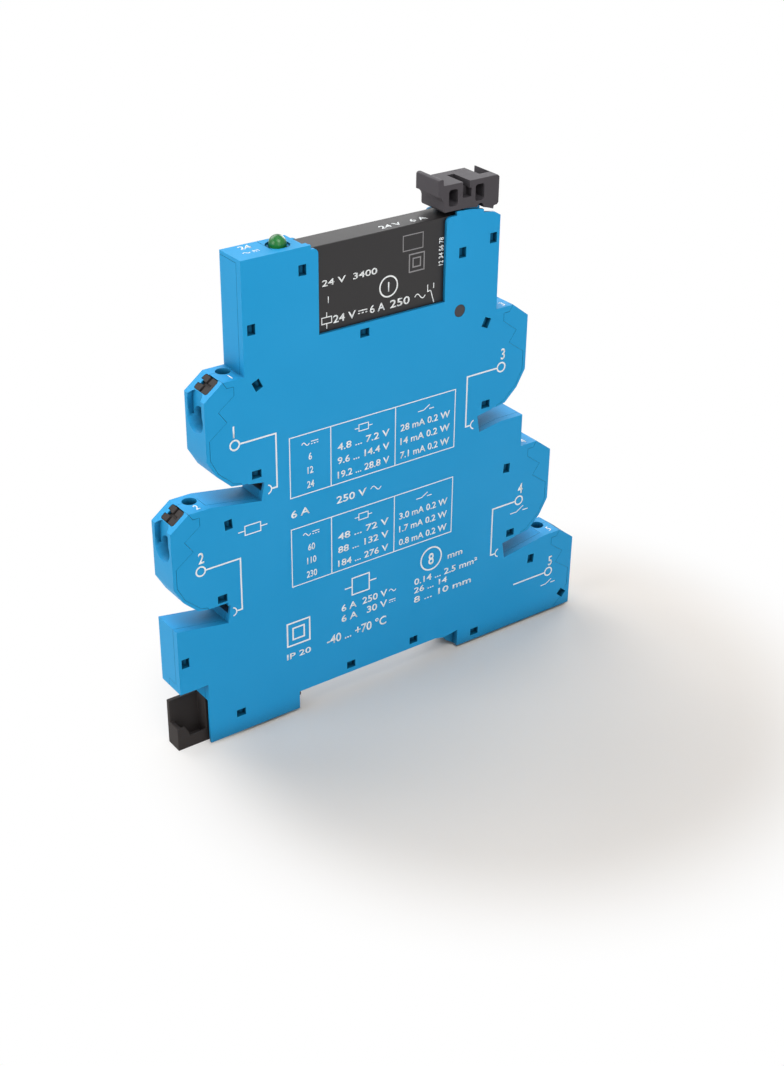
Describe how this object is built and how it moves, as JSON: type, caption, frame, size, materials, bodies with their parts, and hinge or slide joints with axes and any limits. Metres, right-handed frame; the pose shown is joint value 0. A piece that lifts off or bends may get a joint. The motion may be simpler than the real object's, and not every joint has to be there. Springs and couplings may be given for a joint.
{
  "type": "rail-mounted interface relay",
  "caption": "Slim blue relay module that clips onto a rail, with stepped push-in wire terminals, a plug-in relay, a lever that holds and lifts it, and a green light.",
  "frame": {"origin": "middle of the rail seat, halfway through the thickness", "axes": "+X along the printed side towards the contact terminals, +Y through the thickness away from the printed side, +Z away from the rail"},
  "size_m": [0.0869, 0.0062, 0.0924],
  "materials": {
    "housing_blue": "satin moulded",
    "lever_grey": "satin moulded",
    "relay_black": "satin moulded",
    "black_plastic": "satin moulded",
    "led_green": "clear tinted dome",
    "board_green": "solder mask",
    "component_dark": "moulded",
    "copper_alloy": "stamped",
    "spring_steel": "rolled",
    "soft_iron": "nickel plated",
    "winding": "enamelled wire",
    "bobbin_white": "moulded",
    "contact_silver": "silver plated"
  },
  "bodies": {
    "housing": {"rear_shell": "housing_blue", "front_cover": "housing_blue", "status_led": "led_green", "circuit_board": "board_green", "capacitor": "component_dark", "resistors": "component_dark", "rectifier": "component_dark", "socket_block": "housing_blue", "coil_leads": "copper_alloy", "busbar_1": "copper_alloy", "busbar_2": "copper_alloy", "busbar_3": "copper_alloy", "busbar_4": "copper_alloy", "busbar_5": "copper_alloy", "clamp_spring_1": "spring_steel", "clamp_spring_2": "spring_steel", "clamp_spring_3": "spring_steel", "clamp_spring_4": "spring_steel", "clamp_spring_5": "spring_steel", "clip_spring": "spring_steel"},
    "relay": {"relay_case": "relay_black", "relay_base": "relay_black", "coil_pins": "contact_silver", "coil_bobbin": "bobbin_white", "coil_winding": "winding", "magnet_frame": "soft_iron", "fixed_contact": "contact_silver", "common_post": "contact_silver"},
    "armature_set": {"armature": "soft_iron", "contact_card": "bobbin_white", "moving_contact": "contact_silver"},
    "lever": {"retaining_lever": "lever_grey"},
    "clip": {"rail_clip": "black_plastic"},
    "button_1": {"release_button_1": "black_plastic"},
    "button_2": {"release_button_2": "black_plastic"},
    "button_3": {"release_button_3": "black_plastic"},
    "button_4": {"release_button_4": "black_plastic"},
    "button_5": {"release_button_5": "black_plastic"}
  },
  "joints": [
    {"name": "lever_turn", "type": "hinge", "parent": "housing", "child": "lever", "pos_m": [0.01555, 0, 0.06485], "axis": [0, 1, 0], "range_deg": [0, 28]},
    {"name": "relay_lift", "type": "slide", "parent": "housing", "child": "relay", "axis": [0, 0, 1], "range_m": [0, 0.0023]},
    {"name": "armature_turn", "type": "hinge", "parent": "relay", "child": "armature_set", "pos_m": [0.00348, 0, 0.06915], "axis": [0, -1, 0], "range_deg": [0, 3.4], "stiffness_Nm_per_rad": 0.01, "springref_deg": -8.59},
    {"name": "clip_slide", "type": "slide", "parent": "housing", "child": "clip", "axis": [-1, 0, 0], "range_m": [0, 0.0022], "stiffness_N_per_m": 1500, "springref_m": -0.002},
    {"name": "button_1_press", "type": "slide", "parent": "housing", "child": "button_1", "axis": [0.6092, 0, -0.7931], "range_m": [0, 0.001], "stiffness_N_per_m": 1000, "springref_m": -0.0005},
    {"name": "button_2_press", "type": "slide", "parent": "housing", "child": "button_2", "axis": [0.6092, 0, -0.7931], "range_m": [0, 0.001], "stiffness_N_per_m": 1000, "springref_m": -0.0005},
    {"name": "button_3_press", "type": "slide", "parent": "housing", "child": "button_3", "axis": [-0.6092, 0, -0.7931], "range_m": [0, 0.001], "stiffness_N_per_m": 1000, "springref_m": -0.0005},
    {"name": "button_4_press", "type": "slide", "parent": "housing", "child": "button_4", "axis": [-0.6092, 0, -0.7931], "range_m": [0, 0.001], "stiffness_N_per_m": 1000, "springref_m": -0.0005},
    {"name": "button_5_press", "type": "slide", "parent": "housing", "child": "button_5", "axis": [-0.6092, 0, -0.7931], "range_m": [0, 0.001], "stiffness_N_per_m": 1000, "springref_m": -0.0005}
  ],
  "couplings": [
    {"joint": "lever_turn", "follows": "relay_lift", "rad_per_m": 212.4}
  ]
}
